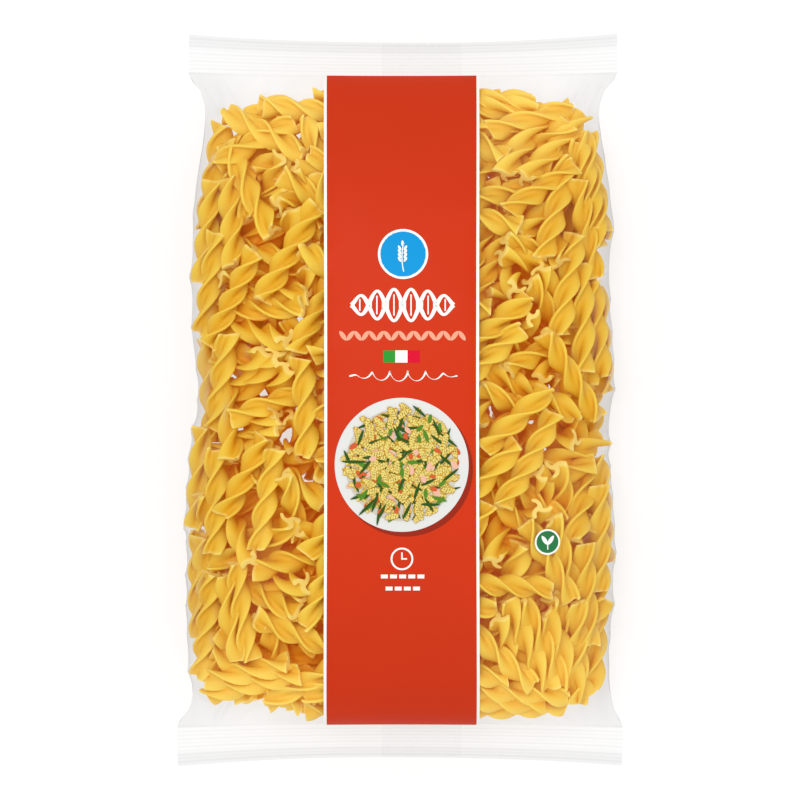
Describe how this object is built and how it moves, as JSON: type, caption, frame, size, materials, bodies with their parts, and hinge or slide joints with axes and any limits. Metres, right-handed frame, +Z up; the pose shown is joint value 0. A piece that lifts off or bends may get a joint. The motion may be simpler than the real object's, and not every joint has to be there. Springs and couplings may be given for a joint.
{
  "type": "pasta packet",
  "caption": "Sealed clear film pillow pack of dried pasta spirals with a printed band down its front, lying on its back.",
  "frame": {"origin": "on the table under the middle of the pack, which lies on its back", "axes": "+X across the pack to the right as seen from the front, +Y towards the top seal, +Z up from the table"},
  "size_m": [0.1648, 0.2714, 0.0505],
  "materials": {
    "film": "clear, slightly hazy packaging film over dried pasta",
    "pasta": "dried durum wheat pasta, dry and slightly translucent",
    "print": "smooth opaque ink printed on the film"
  },
  "bodies": {
    "root": {"bag": "film"}
  },
  "joints": []
}
